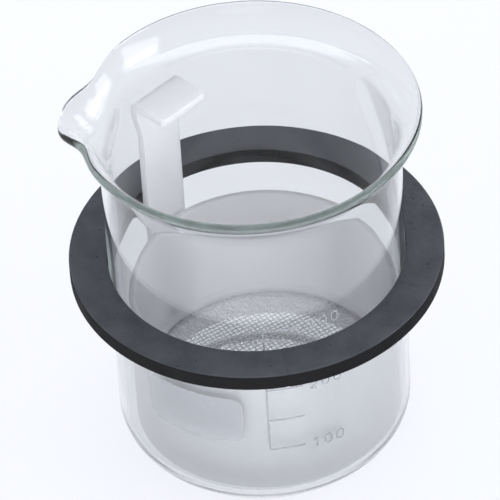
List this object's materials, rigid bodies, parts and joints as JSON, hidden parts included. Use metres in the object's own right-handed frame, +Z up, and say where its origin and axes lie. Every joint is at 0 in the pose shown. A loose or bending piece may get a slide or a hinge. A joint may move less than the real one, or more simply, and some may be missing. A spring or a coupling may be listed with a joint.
{
  "type": "insert beaker set",
  "caption": "Low-form glass beaker with a rubber positioning ring round its wall and a lift-out plastic sieve basket inside, for an ultrasonic cleaning bath.",
  "frame": {"origin": "centre of the beaker's foot, on the surface it stands on", "axes": "+Z up along the beaker's axis, -X towards the spout"},
  "size_m": [0.1009, 0.1008, 0.11],
  "materials": {
    "beaker_glass": "polished",
    "ring_rubber": "matte",
    "basket_plastic": "satin",
    "sieve_plastic": "satin"
  },
  "bodies": {
    "beaker": {"glass_beaker": "beaker_glass"},
    "ring": {"positioning_ring": "ring_rubber"},
    "basket": {"basket_cup": "basket_plastic", "sieve_mesh": "sieve_plastic", "sieve_clamp_ring": "basket_plastic", "basket_handle": "basket_plastic"}
  },
  "joints": [
    {"name": "ring_grip", "type": "slide", "parent": "beaker", "child": "ring", "axis": [0, 0, 1], "range_m": [-0.045, 0.022]},
    {"name": "basket_lift", "type": "slide", "parent": "beaker", "child": "basket", "axis": [0, 0, 1], "range_m": [0, 0.115]}
  ]
}
